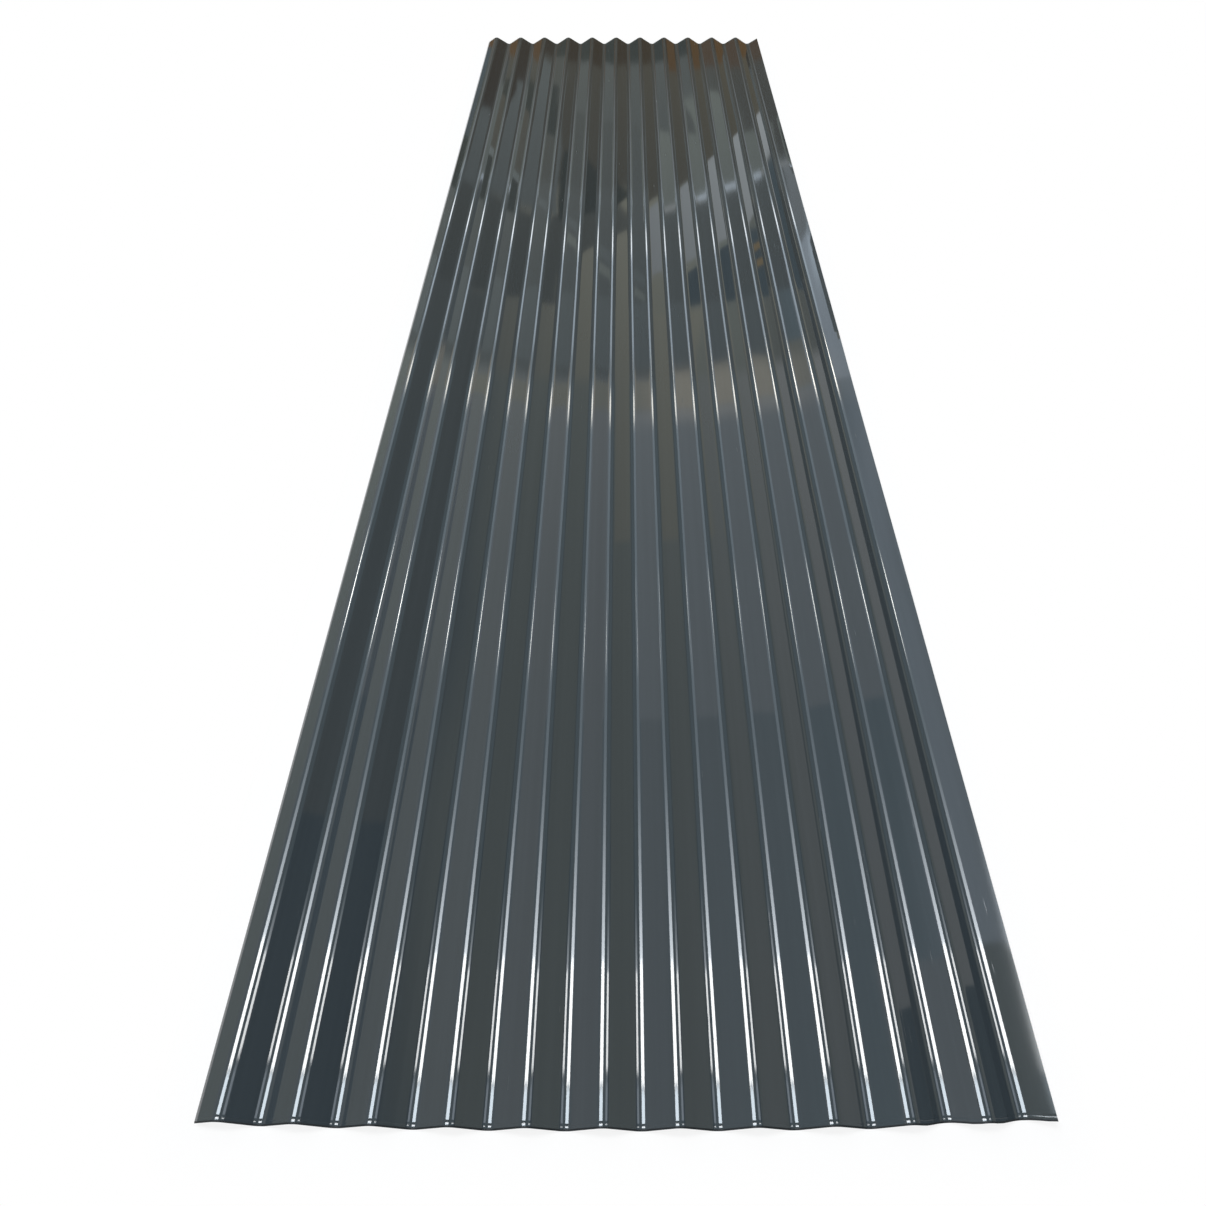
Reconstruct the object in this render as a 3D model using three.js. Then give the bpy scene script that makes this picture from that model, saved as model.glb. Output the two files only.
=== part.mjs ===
// Corrugated steel roofing and cladding sheet with a round wave, lying flat with its top face up.
// One coil-coated sheet, roll-formed in one piece. Millimetres, +Z up.
// The waves run along Y, so the profile is seen in XZ. The origin is at floor level under the middle.
import * as THREE from 'three';

// The wave
const wavePitch = 76; // crest line to crest line
const waveHeight = 18; // lowest underside to highest top
const bendRadius = 13.5; // of every crest and valley, to the middle of the metal
const facetsPerBend = 9; // odd, so that each crest and valley keeps one level facet

// The sheet
const sheetLength = 3000;
const sheetThickness = 0.5;
const crestCount = 11;
const leftEdgeReach = 26.6; // from the first crest line out to the down-turned edge
const rightEdgeReach = 30.4; // from the last valley line out to the up-turned edge

// The flat webs touch the arcs on either side of them, which sets how long and how steep they are.
const halfPitch = wavePitch / 2;
const middleRise = waveHeight - sheetThickness;
const centreRise = middleRise - 2 * bendRadius; // from a valley's arc centre up to a crest's
const webLength = Math.sqrt(halfPitch ** 2 + centreRise ** 2 - (2 * bendRadius) ** 2);
const webAngle = Math.atan2(
  2 * bendRadius * halfPitch + webLength * centreRise,
  webLength * halfPitch - 2 * bendRadius * centreRise
);

// Each facet touches its true arc at its middle, so its corners stand a little further out.
const facetAngle = 2 * webAngle / facetsPerBend;
const cornerStretch = 1 / Math.cos(facetAngle / 2);

// Crest to last valley is half a pitch short of a whole number of waves.
const overallWidth = leftEdgeReach + (crestCount - 1) * wavePitch + halfPitch + rightEdgeReach;
const firstCrestX = leftEdgeReach - overallWidth / 2;

// The cut edges are square to the sloping metal, so half their thickness leans out past its middle.
const edgeLean = sheetThickness / 2 * Math.sin(webAngle);
const leftCutX = -overallWidth / 2 + edgeLean;
const rightCutX = overallWidth / 2 - edgeLean;

// A station is one corner of the profile: the middle of the metal, and the step from it to the top face.
function bendStations(bendX, side) {
  const arcCentre = new THREE.Vector2(bendX, side * (middleRise / 2 - bendRadius));
  const stations = [];
  for (let corner = 0; corner <= facetsPerBend; corner++) {
    const lean = corner * facetAngle - webAngle;
    const outward = new THREE.Vector2(Math.sin(lean), side * Math.cos(lean));
    outward.multiplyScalar(cornerStretch);
    stations.push({
      middle: arcCentre.clone().addScaledVector(outward, bendRadius),
      toTop: outward.clone().multiplyScalar(side * sheetThickness / 2),
    });
  }
  return stations;
}

// All bends from one past the left edge to one past the right, a crest and a valley in turn.
function waveStations() {
  const bendsLeftOfCrest = Math.ceil(leftEdgeReach / halfPitch);
  const lastBend = 2 * crestCount - 1 + Math.ceil(rightEdgeReach / halfPitch);
  const stations = [];
  for (let bend = -bendsLeftOfCrest; bend <= lastBend; bend++) {
    const side = bend % 2 === 0 ? 1 : -1;
    stations.push(...bendStations(firstCrestX + bend * halfPitch, side));
  }
  return stations;
}

function stationAtCut(before, after, cutX) {
  const share = (cutX - before.middle.x) / (after.middle.x - before.middle.x);
  return {
    middle: before.middle.clone().lerp(after.middle, share),
    toTop: before.toTop.clone().lerp(after.toTop, share),
  };
}

// The wave, slit to width at both side edges.
function slitStations() {
  const wave = waveStations();
  const first = wave.findIndex((station) => station.middle.x > leftCutX);
  const last = wave.findLastIndex((station) => station.middle.x < rightCutX);
  return [
    stationAtCut(wave[first - 1], wave[first], leftCutX),
    ...wave.slice(first, last + 1),
    stationAtCut(wave[last], wave[last + 1], rightCutX),
  ];
}

function sheetProfile() {
  const stations = slitStations();
  const top = stations.map(({ middle, toTop }) => middle.clone().add(toTop));
  const underside = stations.map(({ middle, toTop }) => middle.clone().sub(toTop));
  return new THREE.Shape([...underside, ...top.reverse()]);
}

// The profile is drawn in XY and pushed along Z, then stood up so that the waves run along Y.
function sheetGeometry() {
  const geometry = new THREE.ExtrudeGeometry(sheetProfile(), {
    depth: sheetLength,
    bevelEnabled: false,
  });
  geometry.translate(0, 0, -sheetLength / 2);
  geometry.rotateX(Math.PI / 2);
  return geometry;
}

const coatedSteel = new THREE.MeshStandardMaterial({
  name: 'coated_steel',
  color: 0x383e42,
  roughness: 0.28,
  metalness: 0.1,
});

const sheet = new THREE.Mesh(sheetGeometry(), coatedSteel);
sheet.name = 'corrugated_sheet';
sheet.position.z = waveHeight / 2;

const part = new THREE.Group();
part.add(sheet);

export default part;
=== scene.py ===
import math
import bmesh
import bpy
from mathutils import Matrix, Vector, noise


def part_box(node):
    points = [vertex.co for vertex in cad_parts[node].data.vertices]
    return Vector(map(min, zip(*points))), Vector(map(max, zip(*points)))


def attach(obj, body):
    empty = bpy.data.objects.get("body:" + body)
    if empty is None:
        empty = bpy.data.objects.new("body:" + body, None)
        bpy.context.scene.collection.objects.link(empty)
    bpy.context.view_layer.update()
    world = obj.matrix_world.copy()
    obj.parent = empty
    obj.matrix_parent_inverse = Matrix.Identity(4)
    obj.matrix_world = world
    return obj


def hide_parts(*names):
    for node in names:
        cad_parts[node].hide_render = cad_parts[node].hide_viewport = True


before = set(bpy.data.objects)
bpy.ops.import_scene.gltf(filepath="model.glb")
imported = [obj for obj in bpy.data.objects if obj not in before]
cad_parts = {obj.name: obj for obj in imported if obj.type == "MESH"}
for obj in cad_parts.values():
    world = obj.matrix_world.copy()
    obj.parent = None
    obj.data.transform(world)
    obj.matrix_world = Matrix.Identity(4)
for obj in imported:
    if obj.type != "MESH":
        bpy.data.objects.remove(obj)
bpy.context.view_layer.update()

millimetre = 0.001
mixFirst, mixSecond, mixResult = 6, 7, 2  # the colour sockets of a Mix node


def linearColour(hexColour):
    # sRGB hex to the linear colour that a shader takes
    channels = [int(hexColour[i:i + 2], 16) / 255 for i in (1, 3, 5)]
    return [c / 12.92 if c <= 0.04045 else ((c + 0.055) / 1.055) ** 2.4 for c in channels] + [1]


def addNode(tree, kind, settings, inputs):
    # an input is a value, or the socket of an earlier node
    node = tree.nodes.new("ShaderNode" + kind)
    for name, value in settings.items():
        setattr(node, name, value)
    for name, value in inputs.items():
        if isinstance(value, bpy.types.NodeSocket):
            tree.links.new(value, node.inputs[name])
        else:
            node.inputs[name].default_value = value
    return node


def emptyMaterial(name):
    material = bpy.data.materials.new(name)
    material.use_nodes = True
    material.node_tree.nodes.clear()
    return material


def perMetre(sizeInMillimetres):
    # how often a pattern of that size repeats in a metre, which is what a texture's Scale asks for
    return 1 / (sizeInMillimetres * millimetre)


sheetSizes = {
    "node": "corrugated_sheet",
    "wavePitch": 76 * millimetre,  # crest line to crest line
    "bendRadius": 13.5 * millimetre,  # of every bend, to the middle of the metal
    "thickness": 0.5 * millimetre,
    "leftEdgeReach": 26.6 * millimetre,  # first crest line to the down-turned edge
    "segmentsPerBend": 16,  # even, so that each crest line touches the full height
    "webShares": (0.05, 0.35, 0.65, 0.95),  # where the flat between two bends is divided
    "rowSpacing": 45 * millimetre,  # along the length, away from the cut ends
}

# What the shear leaves on both cut ends, each measured from the cut inwards.
shearMarks = {
    "creaseInset": 4.5 * millimetre,  # line pressed in by the hold-down
    "creaseDepth": 0.09 * millimetre,
    "creaseWidth": 0.9 * millimetre,
    "rollOnCrest": 1.8 * millimetre,  # how far in the top face starts to roll down to the cut
    "rollInValley": 2.6 * millimetre,
    "rollDrop": 0.3 * millimetre,
    "rollInsets": (0, 0.3, 0.7, 1.2),  # rows of corners in the roll on a crest, in millimetres
    "rowInsets": (1.8, 3.1, 4.05, 4.25, 4.5, 4.75, 4.95, 7, 12, 25),
    "bow": 6.3 * millimetre,  # the near cut is this far short of square at the corners
    "dips": ((0.3225, 0.030, 0.0038), (0.3985, 0.032, 0.0042)),  # and shorter here: x, reach, depth
}

# Thin sheet is never quite true: the most that a bend strays, over what length, and where in the
# noise that is read, as a step from bend to bend and a level.
strayFromTrue = {
    "sideways": 0.8 * millimetre,
    "sidewaysLength": 420 * millimetre,
    "sidewaysNoise": (3.7, 0.5),
    "height": 0.10 * millimetre,
    "heightLength": 170 * millimetre,
    "heightNoise": (5.3, 9.5),
}

low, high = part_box(sheetSizes["node"])
halfLength = (high[1] - low[1]) / 2
waveHeight = high[2] - low[2]
middleRise = waveHeight - sheetSizes["thickness"]
halfPitch = sheetSizes["wavePitch"] / 2


def webAngle():
    # the flat web touches the arcs on either side of it
    twoRadii = 2 * sheetSizes["bendRadius"]
    centreRise = middleRise - twoRadii
    webLength = math.sqrt(halfPitch ** 2 + centreRise ** 2 - twoRadii ** 2)
    return math.atan2(twoRadii * halfPitch + webLength * centreRise,
                      webLength * halfPitch - twoRadii * centreRise)


def waveStations():
    # corners of the profile as (x, z, tilt, bend): the middle of the metal, how far its top face
    # leans to +X, and the number of the bend that it belongs to, with webs in between
    radius, segments = sheetSizes["bendRadius"], sheetSizes["segmentsPerBend"]
    firstCrest = low[0] + sheetSizes["leftEdgeReach"]
    lastBend = math.ceil((high[0] - firstCrest) / halfPitch)
    stations = []
    for bend in range(-1, lastBend + 1):
        side = 1 if bend % 2 == 0 else -1
        arc = []
        for i in range(segments + 1):
            lean = (2 * i / segments - 1) * webAngle()
            x = firstCrest + bend * halfPitch + radius * math.sin(lean)
            z = low[2] + waveHeight / 2 + side * (middleRise / 2 - radius + radius * math.cos(lean))
            arc.append(Vector((x, z, side * lean, bend)))
        if stations:
            webStart = stations[-1]
            stations += [webStart.lerp(arc[0], share) for share in sheetSizes["webShares"]]
        stations += arc
    return stations


def slitStations():
    # the wave cut to width, square to the sloping metal
    stations = waveStations()
    edgeLean = sheetSizes["thickness"] / 2 * math.sin(webAngle())
    leftCut, rightCut = low[0] + edgeLean, high[0] - edgeLean
    slit = []
    for before, after in zip(stations, stations[1:]):
        for cut in (leftCut, rightCut):
            if before.x < cut <= after.x:
                slit.append(before.lerp(after, (cut - before.x) / (after.x - before.x)))
        if leftCut < after.x < rightCut:
            slit.append(after)
    return slit


def rowPlaces():
    # close together at the cut ends, where the shear marks are
    insets = [inset * millimetre for inset in shearMarks["rollInsets"] + shearMarks["rowInsets"]]
    inner = halfLength - insets[-1]
    spans = round(2 * inner / sheetSizes["rowSpacing"])
    near = [inset - halfLength for inset in insets[:-1]]
    middle = [inner * (2 * i / spans - 1) for i in range(spans + 1)]
    far = [halfLength - inset for inset in reversed(insets[:-1])]
    return near + middle + far


def bendStray(bend, y):
    # a bend wanders sideways, and only ever inwards in height, so that the sheet keeps its size
    step, level = strayFromTrue["sidewaysNoise"]
    sideways = noise.noise(Vector((bend * step, y / strayFromTrue["sidewaysLength"], level)))
    step, level = strayFromTrue["heightNoise"]
    height = noise.noise(Vector((bend * step, y / strayFromTrue["heightLength"], level)))
    inward = strayFromTrue["height"] * min(max(0.5 + height, 0), 1)
    return Vector((strayFromTrue["sideways"] * sideways, inward if bend % 2 else -inward))


def rollReach(heightShare):
    # how far in the top face rolls down to the cut, between valley and crest
    crest, valley = shearMarks["rollOnCrest"], shearMarks["rollInValley"]
    return valley + (crest - valley) * heightShare


def cutShort(x):
    # how far short of square the near cut runs
    short = shearMarks["bow"] * (x / high[0]) ** 2
    for place, reach, depth in shearMarks["dips"]:
        short += depth * (1 + math.cos(math.pi * min(abs(x - place) / reach, 1))) / 2
    return short


def topDrop(inset, heightShare):
    # how far the top face lies below true near a cut end
    roll = shearMarks["rollDrop"] * max(0, 1 - inset / rollReach(heightShare)) ** 2
    fromCrease = abs(inset - shearMarks["creaseInset"]) / (shearMarks["creaseWidth"] / 2)
    return roll + shearMarks["creaseDepth"] * max(0, 1 - fromCrease)


def sheetRow(stations, y):
    # one row of corners across the sheet, as (top, underside) pairs
    inset = halfLength - abs(y)
    bends = range(math.floor(stations[0][3]), math.ceil(stations[-1][3]) + 1)
    strays = {bend: bendStray(bend, y) for bend in bends}
    halfMetal = sheetSizes["thickness"] / 2
    row = []
    for x, z, tilt, bend in stations:
        before = math.floor(bend)
        stray = strays[before].lerp(strays[min(before + 1, bends[-1])], bend - before)
        heightShare = min(max((z - low[2]) / waveHeight, 0), 1)
        rolled = inset
        if inset <= shearMarks["rollOnCrest"]:  # the rows in the roll spread as far as it reaches
            rolled = inset * rollReach(heightShare) / shearMarks["rollOnCrest"]
        cornerY = math.copysign(halfLength - rolled, y)
        if y < 0:  # the near half is drawn in to follow its cut
            cornerY *= 1 - cutShort(x) / halfLength
        pair = []
        for reach in (halfMetal - topDrop(rolled, heightShare), -halfMetal):
            cornerX = x + stray.x + reach * math.sin(tilt)
            cornerZ = z + stray.y + reach * math.cos(tilt)
            pair.append(Vector((min(max(cornerX, low[0]), high[0]), cornerY, cornerZ)))
        row.append(pair)
    return row


def addFace(mesh, corners, slot, smooth):
    face = mesh.faces.new(corners)
    face.material_index = slot
    face.smooth = smooth
    return face


def buildSheet(materials):
    stations = slitStations()
    mesh = bmesh.new()
    rows = []
    places = rowPlaces()
    for y in places:
        rows.append([[mesh.verts.new(corner) for corner in pair] for pair in sheetRow(stations, y)])
    topSlot, backSlot, edgeSlot, shadedRollSlot = range(4)  # in the order of the materials
    rollStart = halfLength - shearMarks["rollOnCrest"]
    for row, nextRow, y, nextY in zip(rows, rows[1:], places, places[1:]):
        # the faces of the roll down to the cut take the coat painted dark as shade
        upperSlot = shadedRollSlot if abs(y + nextY) / 2 > rollStart else topSlot
        for i in range(len(stations) - 1):
            (topA, backA), (topB, backB) = row[i], row[i + 1]
            (topD, backD), (topC, backC) = nextRow[i], nextRow[i + 1]
            addFace(mesh, (topA, topB, topC, topD), upperSlot, True)
            addFace(mesh, (backD, backC, backB, backA), backSlot, True)
        for i, turned in ((0, False), (-1, True)):  # the slit side edges
            rim = [row[i][1], row[i][0], nextRow[i][0], nextRow[i][1]]
            addFace(mesh, rim[::-1] if turned else rim, edgeSlot, False)
    for row, turned in ((rows[0], False), (rows[-1], True)):  # the sheared ends
        for (topA, backA), (topB, backB) in zip(row, row[1:]):
            rim = [backA, backB, topB, topA]
            addFace(mesh, rim[::-1] if turned else rim, edgeSlot, False)
    data = bpy.data.meshes.new("sheetMetal")
    mesh.to_mesh(data)
    mesh.free()
    for material in materials:
        data.materials.append(material)
    piece = bpy.data.objects.new("coated_sheet", data)
    bpy.context.collection.objects.link(piece)
    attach(piece, "root")
    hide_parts(sheetSizes["node"])
    print("sheet:", len(stations), "corners across,", len(rows), "rows along")


topCoat = {
    "colour": "#2E353A",
    "streakColour": "#363D42",
    "roughness": 0.038,
    "ior": 1.6,
    "rollerStreak": (9, 900),  # mm across and along the sheet
    "scuffSize": (2.5, 60),
    "scuffLevels": (0.72, 0.8),  # noise values between which a scuff sets in, so it is rare
    "scuffRoughness": 0.3,
    "orangePeel": 1.4,  # mm
    "orangePeelHeight": 0.001 * millimetre,
    "panning": (30, 140),  # shallow swells of the thin metal
    "panningHeight": 0.02 * millimetre,
    # painted shade: the roll down to each cut gets this near-black, dull coat in place of the shadowed
    # lip
    "lipShadeColour": "#1B1F22",
    "lipShadeRoughness": 0.4,
    "lipShadeIor": 1.35,
}


def stretchedNoise(tree, place, size, detail):
    # noise with its own size across and along the sheet, in millimetres
    across, along = size
    scale = (perMetre(across), perMetre(along), perMetre(across))
    mapping = addNode(tree, "Mapping", {}, {"Vector": place, "Scale": scale})
    return addNode(tree, "TexNoise", {}, {"Vector": mapping.outputs[0], "Scale": 1, "Detail": detail})


def polyesterCoilCoat():
    # Polyester coil coat, roll-coated and oven-cured on flat steel: deep gloss over a dark grey, with
    # faint roller streaks and orange peel that only soften the reflections.
    material = emptyMaterial("anthracite polyester coil coat")
    tree = material.node_tree
    place = addNode(tree, "TexCoord", {}, {}).outputs["Object"]
    streaks = stretchedNoise(tree, place, topCoat["rollerStreak"], detail=3)
    scuffs = stretchedNoise(tree, place, topCoat["scuffSize"], detail=2)
    colour = addNode(tree, "Mix", {"data_type": "RGBA"}, {
        "Factor": streaks.outputs["Fac"],
        mixFirst: linearColour(topCoat["colour"]),
        mixSecond: linearColour(topCoat["streakColour"]),
    })
    unmarked, scuffed = topCoat["scuffLevels"]
    roughness = addNode(tree, "MapRange", {}, {
        "Value": scuffs.outputs["Fac"], "From Min": unmarked, "From Max": scuffed,
        "To Min": topCoat["roughness"], "To Max": topCoat["scuffRoughness"],
    })
    peel = addNode(tree, "TexNoise", {}, {
        "Vector": place, "Scale": perMetre(topCoat["orangePeel"]), "Detail": 1,
    })
    panning = stretchedNoise(tree, place, topCoat["panning"], detail=1)
    swells = addNode(tree, "Bump", {}, {
        "Height": panning.outputs["Fac"], "Strength": 1, "Distance": topCoat["panningHeight"],
    })
    skin = addNode(tree, "Bump", {}, {
        "Height": peel.outputs["Fac"], "Strength": 1, "Distance": topCoat["orangePeelHeight"],
        "Normal": swells.outputs[0],
    })
    shader = addNode(tree, "BsdfPrincipled", {}, {
        "Base Color": colour.outputs[mixResult], "Roughness": roughness.outputs[0],
        "IOR": topCoat["ior"], "Normal": skin.outputs[0],
    })
    addNode(tree, "OutputMaterial", {}, {"Surface": shader.outputs[0]})
    return material


def paintedShadeCoilCoat():
    # The same coat on the roll where the shear pressed it over the cut, painted near black and dulled:
    # painted shade standing in for the dark, shadowed lip along the cut.
    material = emptyMaterial("polyester coil coat painted dark as shade at the shear")
    tree = material.node_tree
    shader = addNode(tree, "BsdfPrincipled", {}, {
        "Base Color": linearColour(topCoat["lipShadeColour"]),
        "Roughness": topCoat["lipShadeRoughness"],
        "IOR": topCoat["lipShadeIor"],
    })
    addNode(tree, "OutputMaterial", {}, {"Surface": shader.outputs[0]})
    return material


backCoat = {
    "colour": "#A9ADAB",
    "thinColour": "#9DA19F",
    "roughness": 0.42,
    "ior": 1.5,
    "rollerStreak": (6, 500),  # mm across and along the sheet
    "grain": 0.8,  # mm
    "grainHeight": 0.004 * millimetre,
}


def epoxyBackCoat():
    # Thin epoxy backing coat, roll-coated on the hidden face: satin light grey with roller streaks.
    material = emptyMaterial("light grey epoxy backing coat")
    tree = material.node_tree
    place = addNode(tree, "TexCoord", {}, {}).outputs["Object"]
    streaks = stretchedNoise(tree, place, backCoat["rollerStreak"], detail=4)
    colour = addNode(tree, "Mix", {"data_type": "RGBA"}, {
        "Factor": streaks.outputs["Fac"],
        mixFirst: linearColour(backCoat["colour"]),
        mixSecond: linearColour(backCoat["thinColour"]),
    })
    grain = addNode(tree, "TexNoise", {}, {"Vector": place, "Scale": perMetre(backCoat["grain"])})
    skin = addNode(tree, "Bump", {}, {
        "Height": grain.outputs["Fac"], "Strength": 1, "Distance": backCoat["grainHeight"],
    })
    shader = addNode(tree, "BsdfPrincipled", {}, {
        "Base Color": colour.outputs[mixResult], "Roughness": backCoat["roughness"],
        "IOR": backCoat["ior"], "Normal": skin.outputs[0],
    })
    addNode(tree, "OutputMaterial", {}, {"Surface": shader.outputs[0]})
    return material


cutEdge = {
    "colour": "#A7A8A6",
    "tornColour": "#6E7072",
    "roughness": (0.28, 0.55),  # where the blade slid and where the metal tore
    "tearLevels": (0.3, 0.7),  # noise values that these two belong to
    "grain": 0.6,  # mm
}


def shearedSteelEdge():
    # Zinc-coated mild steel, sheared: a bare bright rim where the blade slid, dull where it tore.
    material = emptyMaterial("sheared zinc-coated steel")
    tree = material.node_tree
    place = addNode(tree, "TexCoord", {}, {}).outputs["Object"]
    grain = addNode(tree, "TexNoise", {}, {"Vector": place, "Scale": perMetre(cutEdge["grain"])})
    colour = addNode(tree, "Mix", {"data_type": "RGBA"}, {
        "Factor": grain.outputs["Fac"],
        mixFirst: linearColour(cutEdge["colour"]),
        mixSecond: linearColour(cutEdge["tornColour"]),
    })
    (shine, dull), (slid, torn) = cutEdge["roughness"], cutEdge["tearLevels"]
    roughness = addNode(tree, "MapRange", {}, {
        "Value": grain.outputs["Fac"], "From Min": slid, "From Max": torn,
        "To Min": shine, "To Max": dull,
    })
    shader = addNode(tree, "BsdfPrincipled", {}, {
        "Base Color": colour.outputs[mixResult], "Roughness": roughness.outputs[0], "Metallic": 1,
    })
    addNode(tree, "OutputMaterial", {}, {"Surface": shader.outputs[0]})
    return material


# Soft boxes hang on a barrel around the sheet's long axis, each turned to face it. Every box is given
# by its edges across in degrees from overhead, its edges along in metres, its radiance and colour, how
# soft its edges are as a share of each side, and how steeply it fades along, where 0 is even.
softBoxes = {
    "barrelRadius": 30,
    "layerGap": 0.1,  # each box hangs this much further out than the one before
    "boxes": {
        "mainBox": (-34, -5, 4.0, 8.0, 19, "#FFFFFF", 0.05, 0),
        "mainSky": (-34, -5, 1.7, 4.1, 13, "#EAF5FF", 0.08, 0),
        "mainGlow": (-34, -5, 7.8, 19, 12.0, "#F2F8FF", 0.02, 3),
        "roofStrip": (-34, -6, 1.4, 62, 1.3, "#DAEFFF", 0.02, 0),
        "farStrip": (-34, -6, 43, 59.5, 1.6, "#E2EEFF", 0.15, 0),
        "farEnd": (-34, -6, 55.5, 61, 4.6, "#FFFFFF", 0.3, 0),
        "farBeam": (-35, -4, 37.2, 41.6, 9.0, "#FFF8EC", 0.4, 0),
        "farGlow": (-60, -34, 37.2, 44.0, 0.75, "#FFF0DA", 0.35, 0),
        "duskStrip": (-34, -8, 61, 96, 1.05, "#DCEAF4", 0.02, 1),
        "fillBox": (18, 36, 4.5, 7.9, 12.5, "#FFFFFF", 0.08, 0),
        "fillSky": (16, 36, 2.0, 4.5, 2.2, "#E6F0FF", 0.15, 0),
        "fillGlow": (18, 36, 7.7, 11.5, 4.5, "#F2F8FF", 0.02, 2),
        "rearStrip": (-34, -5, -75, -8, 1.8, "#F0F6FF", 0.04, 0),
        "rearBeam": (-34, -5, -46, -34, 5.0, "#FFFFFF", 0.3, 0),
        "rearFill": (18, 36, -60, -9, 1.2, "#F0F6FF", 0.08, 0),
        "rearSheen": (-26, 26, -40, -22, 1.0, "#F0F6FF", 0.45, 0),
    },
}

# Boxes behind a honeycomb grid, which hides them from all but the stretch of the sheet that they face:
# the place that they aim at, their direction in degrees across and distance along over distance from
# the sheet, their size, how many degrees the grid opens, their radiance and colour.
gridBoxes = {
    "distance": 3,  # from the sheet, square to its length
    "edge": 0.3,
    "boxes": {
        "gridLeft": ((-0.56, -0.83), -21, 0.82, (0.4, 1.0), 14, 55, "#FFFDF8"),
        "gridRight": ((0.56, -0.91), -21, 0.765, (0.4, 0.9), 14, 33, "#FFFDF8"),
        "gridFar": ((0.50, -0.395), -21, 1.36, (0.5, 0.6), 8.8, 30, "#FFF8EC"),
    },
}


def softSide(tree, place, edge):
    # 1 over the middle of a side that runs from 0 to 1, and down to 0 over the soft edge at each end
    half = 0.5
    offset = addNode(tree, "Math", {"operation": "SUBTRACT"}, {0: place, 1: half})
    distance = addNode(tree, "Math", {"operation": "ABSOLUTE"}, {0: offset.outputs[0]})
    return addNode(tree, "MapRange", {"interpolation_type": "SMOOTHSTEP"}, {
        "Value": distance.outputs[0], "From Min": half - edge, "From Max": half,
        "To Min": 1, "To Max": 0,
    }).outputs[0]


def makeSoftBox(name, size, radiance, colour, edge, fade):
    width, depth = size
    light = bpy.data.lights.new(name, "AREA")
    light.shape = "RECTANGLE"
    light.size, light.size_y = width, depth
    light.energy = radiance * math.pi * width * depth  # Blender takes a lamp's power in watts
    light.color = linearColour(colour)[:3]
    light.use_nodes = True
    tree = light.node_tree
    tree.nodes.clear()
    place = addNode(tree, "NewGeometry", {}, {}).outputs["Parametric"]
    sides = addNode(tree, "SeparateXYZ", {}, {"Vector": place})
    strength = addNode(tree, "Math", {"operation": "MULTIPLY"}, {
        0: softSide(tree, sides.outputs["X"], edge),
        1: softSide(tree, sides.outputs["Y"], edge),
    })
    if fade:
        remaining = addNode(tree, "Math", {"operation": "SUBTRACT"}, {0: 1, 1: sides.outputs["Y"]})
        faded = addNode(tree, "Math", {"operation": "POWER"}, {0: remaining.outputs[0], 1: fade})
        strength = addNode(tree, "Math", {"operation": "MULTIPLY"}, {
            0: faded.outputs[0], 1: strength.outputs[0],
        })
    glow = addNode(tree, "Emission", {}, {"Strength": strength.outputs[0]})
    addNode(tree, "OutputLight", {}, {"Surface": glow.outputs[0]})
    softBox = bpy.data.objects.new(name, light)
    softBox.visible_camera = False
    bpy.context.collection.objects.link(softBox)
    return softBox


def hangSoftBoxes():
    for layer, (name, box) in enumerate(softBoxes["boxes"].items()):
        left, right, near, far, radiance, colour, edge, fade = box
        reach = softBoxes["barrelRadius"] + layer * softBoxes["layerGap"]
        across = math.radians((left + right) / 2)
        size = (2 * reach * math.tan(math.radians(right - left) / 2), far - near)
        softBox = makeSoftBox(name, size, radiance, colour, edge, fade)
        softBox.location = (reach * math.sin(across), (near + far) / 2, reach * math.cos(across))
        softBox.rotation_euler = (0, across, 0)


def hangGridBoxes():
    for name, (aim, across, along, size, opening, radiance, colour) in gridBoxes["boxes"].items():
        angle = math.radians(across)
        direction = Vector((math.sin(angle), along, math.cos(angle)))
        spread = math.radians(opening)
        narrowGain = 3 / math.tan(spread / 2) ** 2  # by which Blender brightens so narrow a spread
        softBox = makeSoftBox(name, size, radiance / narrowGain, colour, gridBoxes["edge"], 0)
        softBox.data.spread = spread
        softBox.location = Vector((aim[0], aim[1], 0)) + gridBoxes["distance"] * direction
        softBox.rotation_euler = direction.to_track_quat("Z", "Y").to_euler()


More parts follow.
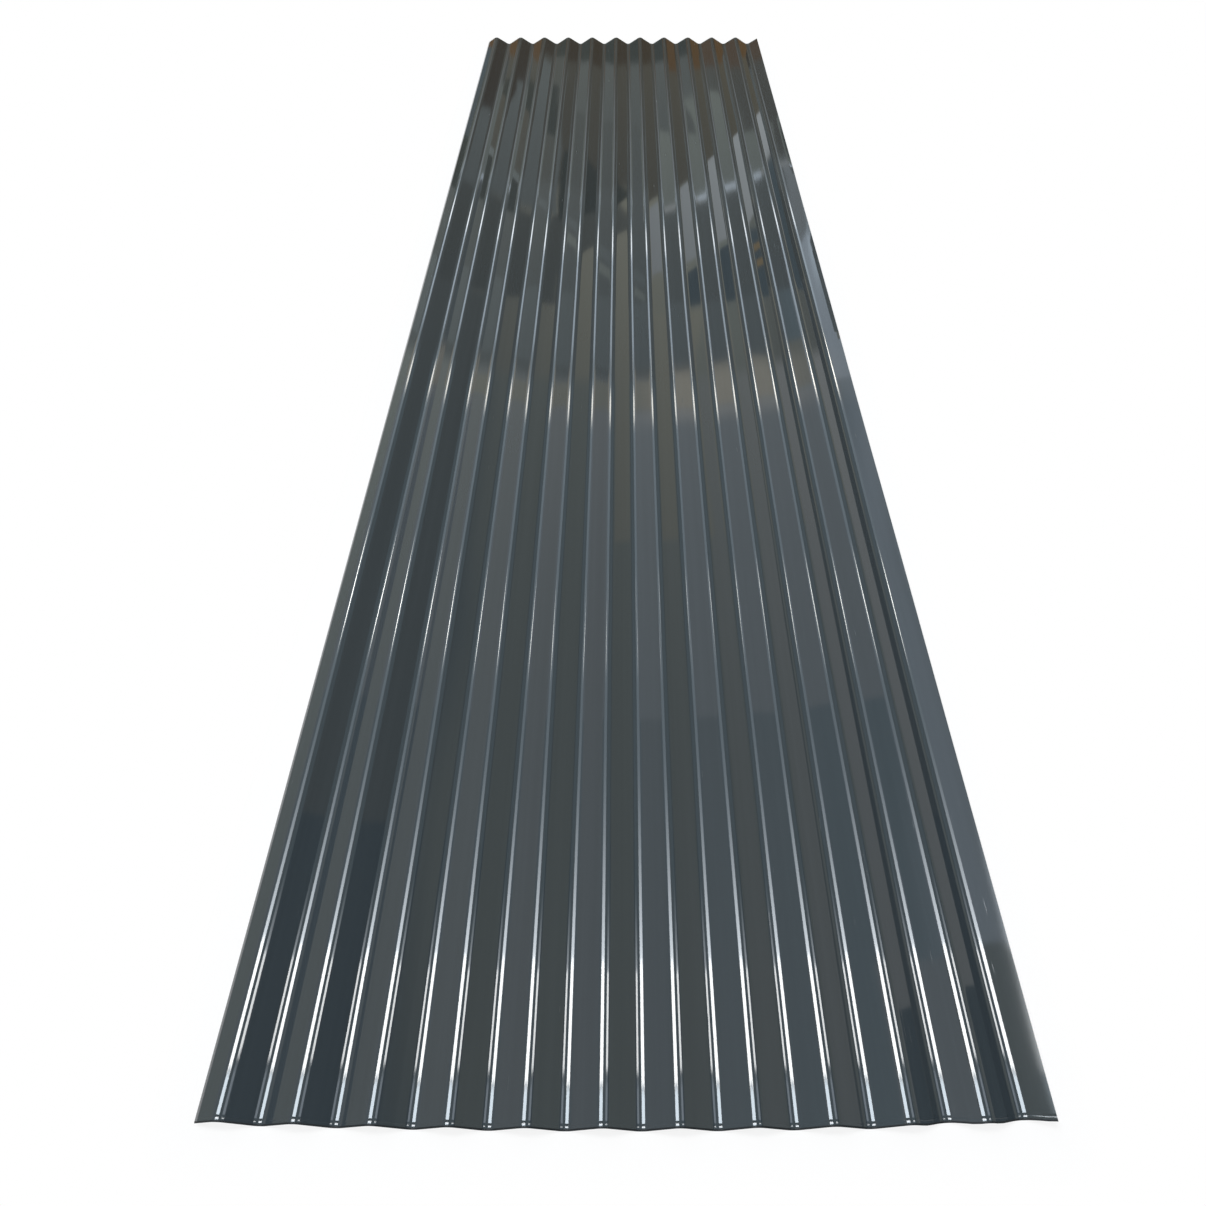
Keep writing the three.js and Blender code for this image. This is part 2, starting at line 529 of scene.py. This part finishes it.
# The hall around the sheet, which its coat mirrors. Places are in degrees across from overhead,
# positive to the right, and in distance along over distance from the axis, positive to the far end.
hall = {
    "lightTone": "#575349",  # even light that falls on matt surfaces
    "light": 1.6,  # strength at which the tones below are mirrored
    "tones": {
        "daylight": "#E2F0FD",
        "frosted": "#D8DCDC",
        "paleSteel": "#B8BEC0",
        "ash": "#ABADAB",
        "cream": "#AEAC99",
        "blueSteel": "#90A2A8",
        "greySteel": "#999E93",
        "steel": "#828782",
        "concrete": "#74766E",
        "dimWall": "#68685D",
        "darkSteel": "#515D62",
        "brownWall": "#635C49",
        "pine": "#9A8459",
        "timber": "#694C1A",
        "deepShade": "#434231",
        "deepTimber": "#4C3A12",
    },
    "widest": 90,  # degrees across, either way, that the walls span
    "walls": {  # where each wall sets in along, and its tones from left to right
        "behind": (-0.3, -0.1, ((-60, "steel"), (-36, "darkSteel"), (-8, "greySteel"), (16, "greySteel"),
                                (36, "darkSteel"), (60, "steel"))),
        "near": (-0.3, -0.1, ((-84, "greySteel"), (-62, "ash"), (-40, "blueSteel"), (-35.5, "daylight"),
                              (-33, "steel"), (35, "blueSteel"), (37, "darkSteel"), (43, "darkSteel"),
                              (47, "greySteel"), (60, "greySteel"), (76, "ash"))),
        "far": (1.34, 1.40, ((-44, "concrete"), (-38, "blueSteel"), (-35.5, "paleSteel"), (-33, "steel"),
                             (38, "concrete"), (52, "cream"), (62, "cream"), (70, "greySteel"),
                             (78, "concrete"))),
        "dusk": (2.1, 2.2, ((-83, "darkSteel"), (-77, "brownWall"), (-66, "dimWall"), (-52, "concrete"),
                            (-40, "brownWall"))),
    },
    "backdrop": "#CFCFCF",
    "backdropFade": (0.02, 0.3),  # sines of the heights between which the backdrop fades out
    "backdropAlong": (-0.3, 0),  # and the places along between which it does
    "cardReach": 900,  # far enough that the whole sheet mirrors the same hall
    "cardLayer": 0.97,  # each card hangs at this share of the reach of the one before
    "cardStep": 3,  # degrees, so that a long edge follows the barrel
    "cards": {
        "leftDoor": ("paleSteel", 1, ((-58, 0.62), (-38, 0.62), (-38, 1.27), (-58, 1.27))),
        "leftEaves": ("paleSteel", 1, ((-42, -0.3), (-38, -0.3), (-38, 0.29), (-42, 0.29))),
        "leftPost": ("greySteel", 1, ((-38, -0.3), (-33.5, -0.3), (-33.5, 0.30), (-38, 0.30))),
        "rightLow": ("darkSteel", 1, ((75.5, -0.3), (96, -0.3), (96, 0.26), (80, 0.26), (75.5, 0.24))),
        "rightGap": ("concrete", 1, ((35, 0.45), (44, 0.45), (44, 1.6), (35, 1.6))),
        "rightDoor": ("cream", 1, ((57, 0.95), (68, 0.95), (68, 1.6), (57, 1.6))),
        "skylight": ("cream", 1, ((-74, 1.29), (-50, 1.28), (-40, 1.28), (-34, 1.28), (-34, 1.42),
                                  (-48, 1.38), (-74, 1.34))),
        "skylightEnd": ("daylight", 1.2, ((-38, 1.28), (-34, 1.28), (-34, 1.8), (-38, 1.62))),
        "leftSteel": ("steel", 1, ((-85, 1.42), (-40, 1.40), (-40, 1.60), (-58, 1.66), (-85, 1.70))),
        "leftBay": ("concrete", 1, ((-58, 1.64), (-38, 1.60), (-36, 1.78), (-36, 2.12), (-55, 2.0),
                                    (-58, 2.1))),
        "leftSheen": ("greySteel", 1, ((-55, 2.0), (-36, 2.12), (-36, 2.35), (-42, 2.36), (-55, 2.5))),
        "leftGable": ("concrete", 1, ((-67, 2.62), (-55, 2.5), (-46, 2.62), (-46, 2.98), (-67, 2.96))),
        "leftPale": ("greySteel", 1, ((-48, 2.3), (-41.5, 2.3), (-41.5, 2.63), (-46, 2.7), (-48, 2.66))),
        "leftPurlin": ("timber", 1, ((-96, 2.84), (-79, 2.88), (-70, 2.93), (-70, 3.7), (-96, 3.7))),
        "leftTie": ("timber", 1, ((-46, 2.87), (-40, 2.83), (-30, 2.72), (-30, 3.7), (-46, 3.7))),
        "leftRidge": ("deepShade", 1, ((-70, 2.98), (-46, 2.99), (-46, 3.7), (-70, 3.7))),
        "leftStack": ("deepShade", 1, ((-78, 2.60), (-71, 2.44), (-67.5, 2.42), (-67.5, 2.77),
                                       (-72, 2.77), (-78, 2.70))),
        "leftShade": ("deepShade", 1, ((-86, 2.02), (-76, 1.98), (-72, 1.96), (-72, 2.14), (-86, 2.34))),
        "railOne": ("steel", 1, ((-80, 2.28), (-70, 2.03), (-55, 1.70), (-55, 1.74), (-70, 2.07),
                                 (-80, 2.33))),
        "railTwo": ("greySteel", 1, ((-68, 1.92), (-55, 1.64), (-55, 1.67), (-68, 1.96))),
        "tube": ("frosted", 1, ((-55, 1.99), (-49, 2.05), (-36, 2.12), (-30, 2.13), (-30, 2.15),
                                (-36, 2.14), (-49, 2.08), (-55, 2.01))),
        "tubeLit": ("daylight", 1.6, ((-48, 2.06), (-40, 2.095), (-40, 2.125), (-48, 2.085))),
        "rightDusk": ("dimWall", 1, ((35, 1.62), (50, 1.62), (50, 1.74), (57, 1.90), (61, 1.96),
                                     (57, 2.14), (48, 1.96), (35, 2.06))),
        "rightBeige": ("cream", 1, ((50, 1.5), (61.5, 1.5), (61.5, 1.94), (54, 1.80), (50, 1.70))),
        "rightPost": ("steel", 1, ((34, 2.06), (50, 2.0), (50, 2.84), (44.5, 2.94), (44.5, 2.79),
                                   (40.5, 2.74), (40.5, 2.5), (34, 2.44))),
        "rightNook": ("deepShade", 1, ((50.3, 1.98), (58, 2.06), (60, 2.12), (57, 2.22), (53.5, 2.34),
                                       (50.3, 2.34))),
        "rightCorner": ("deepTimber", 1, ((34, 2.44), (40.5, 2.5), (40.5, 2.74), (44.5, 2.79),
                                          (44.5, 3.6), (34, 3.6))),
        "rightBoards": ("brownWall", 1, ((62, 2.05), (80, 2.48), (80, 2.8), (62, 2.9))),
        "rightPurlin": ("timber", 1, ((66, 2.9), (80, 2.84), (96, 2.74), (96, 3.7), (66, 3.7))),
        "rightRidge": ("deepTimber", 1, ((44.5, 2.97), (66, 2.97), (66, 3.7), (44.5, 3.7))),
        "window": ("paleSteel", 1, ((61.5, 1.72), (75, 1.90), (77, 2.02), (79.5, 2.30), (80.3, 2.48),
                                    (75, 2.37), (61.5, 1.99))),
        "windowEnd": ("darkSteel", 1, ((80.3, 2.47), (79.5, 2.30), (78, 2.1), (78, 1.84), (96, 1.84),
                                       (96, 2.47))),
        "rightStack": ("darkSteel", 1, ((65.5, 1.62), (80, 1.58), (96, 1.56), (96, 1.84), (78, 1.84),
                                        (75, 1.88), (66, 1.74))),
        "slatOne": ("pine", 1, ((74.4, 1.77), (77.6, 1.80), (77.6, 1.83), (74.4, 1.80))),
        "slatTwo": ("pine", 1, ((74.4, 1.70), (77.6, 1.73), (77.6, 1.76), (74.4, 1.73))),
    },
}


def hallPlace(across, along, reach):
    turn = math.radians(across)
    return Vector((reach * math.sin(turn), reach * along, reach * math.cos(turn)))


def hangCards():
    # only the gloss of the coat shows them, so they neither light nor shade the sheet
    mesh = bmesh.new()
    tones = mesh.loops.layers.float_color.new("tone")
    for layer, (tone, brightness, corners) in enumerate(hall["cards"].values()):
        reach = hall["cardReach"] * hall["cardLayer"] ** layer
        outline = []
        for start, end in zip(corners, corners[1:] + corners[:1]):
            steps = max(1, math.ceil(abs(end[0] - start[0]) / hall["cardStep"]))
            for i in range(steps):
                across = start[0] + (end[0] - start[0]) * i / steps
                along = start[1] + (end[1] - start[1]) * i / steps
                outline.append(mesh.verts.new(hallPlace(across, along, reach)))
        card = mesh.faces.new(outline)
        for corner in card.loops:
            corner[tones] = [part * brightness for part in linearColour(hall["tones"][tone])]
    data = bpy.data.meshes.new("hallCards")
    mesh.to_mesh(data)
    mesh.free()
    material = emptyMaterial("painted card")
    material.cycles.emission_sampling = "NONE"
    tree = material.node_tree
    tone = addNode(tree, "VertexColor", {"layer_name": "tone"}, {})
    glow = addNode(tree, "Emission", {}, {"Color": tone.outputs["Color"], "Strength": hall["light"]})
    addNode(tree, "OutputMaterial", {}, {"Surface": glow.outputs[0]})
    data.materials.append(material)
    cards = bpy.data.objects.new("hallCards", data)
    cards.visible_camera = False
    cards.visible_diffuse = False
    cards.visible_shadow = False
    bpy.context.collection.objects.link(cards)


def hallWalls(tree, across, along):
    # one ramp across for each wall, and each wall blends into the next along the hall
    widest = hall["widest"]
    share = addNode(tree, "MapRange", {}, {"Value": across, "From Min": -widest, "From Max": widest})
    colour = None
    for start, end, tones in hall["walls"].values():
        ramp = addNode(tree, "ValToRGB", {}, {"Fac": share.outputs[0]})
        stops = ramp.color_ramp.elements
        for i, (degrees, tone) in enumerate(tones):
            place = (degrees + widest) / (2 * widest)
            stop = stops[i] if i < 2 else stops.new(place)  # a new ramp has two
            stop.position = place
            stop.color = linearColour(hall["tones"][tone])
        if colour:
            reached = addNode(tree, "MapRange", {"interpolation_type": "SMOOTHSTEP"}, {
                "Value": along, "From Min": start, "From Max": end,
            })
            colour = addNode(tree, "Mix", {"data_type": "RGBA"}, {
                "Factor": reached.outputs[0], mixFirst: colour, mixSecond: ramp.outputs["Color"],
            }).outputs[mixResult]
        else:
            colour = ramp.outputs["Color"]
    return colour


def buildWorld():
    # The camera sees only white. Gloss mirrors the hall, and matt surfaces are lit by its even tone.
    # A mirrored ray that goes back over the near end, low down, meets the white backdrop.
    world = bpy.data.worlds.new("studio")
    bpy.context.scene.world = world
    world.use_nodes = True
    world.cycles.sampling_method = "NONE"  # the boxes carry the light, so the hall needs no samples
    tree = world.node_tree
    tree.nodes.clear()
    direction = addNode(tree, "TexCoord", {}, {}).outputs["Generated"]
    parts = addNode(tree, "SeparateXYZ", {}, {"Vector": direction})
    turn = addNode(tree, "Math", {"operation": "ARCTAN2"}, {
        0: parts.outputs["X"], 1: parts.outputs["Z"],
    })
    across = addNode(tree, "Math", {"operation": "DEGREES"}, {0: turn.outputs[0]}).outputs[0]
    flat = addNode(tree, "CombineXYZ", {}, {"X": parts.outputs["X"], "Z": parts.outputs["Z"]})
    reach = addNode(tree, "VectorMath", {"operation": "LENGTH"}, {0: flat.outputs[0]})
    along = addNode(tree, "Math", {"operation": "DIVIDE"}, {
        0: parts.outputs["Y"], 1: reach.outputs["Value"],
    }).outputs[0]
    (fadeLow, fadeHigh), (fadeNear, fadeFar) = hall["backdropFade"], hall["backdropAlong"]
    height = addNode(tree, "MapRange", {"interpolation_type": "SMOOTHSTEP"}, {
        "Value": parts.outputs["Z"], "From Min": fadeLow, "From Max": fadeHigh,
        "To Min": 1, "To Max": 0,
    })
    behind = addNode(tree, "MapRange", {}, {
        "Value": along, "From Min": fadeNear, "From Max": fadeFar, "To Min": 1, "To Max": 0,
    })
    backed = addNode(tree, "Math", {"operation": "MULTIPLY"}, {
        0: height.outputs[0], 1: behind.outputs[0],
    })
    mirrored = addNode(tree, "Mix", {"data_type": "RGBA"}, {
        "Factor": backed.outputs[0],
        mixFirst: hallWalls(tree, across, along),
        mixSecond: linearColour(hall["backdrop"]),
    })
    mirroredHall = addNode(tree, "Background", {}, {
        "Color": mirrored.outputs[mixResult], "Strength": hall["light"],
    })
    evenHall = addNode(tree, "Background", {}, {
        "Color": linearColour(hall["lightTone"]), "Strength": 1,
    })
    white = addNode(tree, "Background", {}, {"Color": [1, 1, 1, 1], "Strength": 1})
    rays = addNode(tree, "LightPath", {}, {})
    glossy = addNode(tree, "MixShader", {}, {
        "Fac": rays.outputs["Is Glossy Ray"], 1: evenHall.outputs[0], 2: mirroredHall.outputs[0],
    })
    seen = addNode(tree, "Math", {"operation": "MAXIMUM"}, {
        0: rays.outputs["Is Camera Ray"], 1: rays.outputs["Is Transmission Ray"],
    })
    shown = addNode(tree, "MixShader", {}, {
        "Fac": seen.outputs[0], 1: glossy.outputs[0], 2: white.outputs[0],
    })
    addNode(tree, "OutputWorld", {}, {"Surface": shown.outputs[0]})


studioFloor = {
    "reach": 60,  # metres each way
    "gap": 0.2 * millimetre,  # below the sheet, so that the two never share a plane
    "tone": "#F2F2F2",
    "liftBeside": 0.85,  # share of white beside the sheet, which leaves room for its shadow
    "liftFade": (0.005, 0.05),  # metres from the sheet over which the share grows to 1
}


def buildFloor():
    # A pale matt floor. Seen directly or mirrored it is lifted towards white, and keeps the shadow.
    reach = studioFloor["reach"]
    data = bpy.data.meshes.new("studioFloor")
    corners = [(-reach, -reach, 0), (reach, -reach, 0), (reach, reach, 0), (-reach, reach, 0)]
    data.from_pydata(corners, [], [(0, 1, 2, 3)])
    floor = bpy.data.objects.new("studioFloor", data)
    floor.location.z = -studioFloor["gap"]
    bpy.context.collection.objects.link(floor)
    material = emptyMaterial("matt white floor")
    tree = material.node_tree
    rays = addNode(tree, "LightPath", {}, {})
    seen = rays.outputs["Is Camera Ray"]
    for other in ("Is Glossy Ray", "Is Transmission Ray"):
        seen = addNode(tree, "Math", {"operation": "MAXIMUM"}, {
            0: seen, 1: rays.outputs[other],
        }).outputs[0]
    place = addNode(tree, "TexCoord", {}, {}).outputs["Object"]
    fromMiddle = addNode(tree, "VectorMath", {"operation": "ABSOLUTE"}, {0: place})
    beyond = addNode(tree, "VectorMath", {"operation": "SUBTRACT"}, {
        0: fromMiddle.outputs[0], 1: (high[0], halfLength, 0),
    })
    outside = addNode(tree, "VectorMath", {"operation": "MAXIMUM"}, {
        0: beyond.outputs[0], 1: (0, 0, 0),
    })
    distance = addNode(tree, "VectorMath", {"operation": "LENGTH"}, {0: outside.outputs[0]})
    fadeStart, fadeEnd = studioFloor["liftFade"]
    whiteness = addNode(tree, "MapRange", {}, {
        "Value": distance.outputs["Value"], "From Min": fadeStart, "From Max": fadeEnd,
        "To Min": studioFloor["liftBeside"], "To Max": 1,
    })
    lift = addNode(tree, "Math", {"operation": "MULTIPLY"}, {0: seen, 1: whiteness.outputs[0]})
    matt = addNode(tree, "BsdfDiffuse", {}, {"Color": linearColour(studioFloor["tone"])})
    white = addNode(tree, "Emission", {}, {"Color": [1, 1, 1, 1], "Strength": 1})
    mixed = addNode(tree, "MixShader", {}, {
        "Fac": lift.outputs[0], 1: matt.outputs[0], 2: white.outputs[0],
    })
    addNode(tree, "OutputMaterial", {}, {"Surface": mixed.outputs[0]})
    data.materials.append(material)


cameraView = {
    "place": (-0.002, -1.642, 0.9965),
    "below": 50.47,  # degrees below level
    "sensor": 36,  # mm wide
    "lens": 25.83,  # mm
    "shift": -0.0158,
    "farLimit": 300,  # metres, past the ends of the floor
}


def placeCamera():
    camera = bpy.data.cameras.new("camera")
    camera.sensor_width = cameraView["sensor"]
    camera.lens = cameraView["lens"]
    camera.shift_x = cameraView["shift"]
    camera.clip_end = cameraView["farLimit"]
    viewer = bpy.data.objects.new("camera", camera)
    viewer.location = cameraView["place"]
    viewer.rotation_euler = (math.radians(90 - cameraView["below"]), 0, 0)
    bpy.context.collection.objects.link(viewer)
    bpy.context.scene.camera = viewer


bpy.context.scene.view_settings.view_transform = "Standard"
finishes = [polyesterCoilCoat(), epoxyBackCoat(), shearedSteelEdge(), paintedShadeCoilCoat()]
print("finishes:", ", ".join(finish.name for finish in finishes))
buildSheet(finishes)
hangSoftBoxes()
hangGridBoxes()
print("lamps:", len(softBoxes["boxes"]), "soft boxes and", len(gridBoxes["boxes"]), "behind grids")
hangCards()
buildWorld()
print("hall:", len(hall["walls"]), "walls and", len(hall["cards"]), "cards")
buildFloor()
placeCamera()
print("studio: floor and camera")
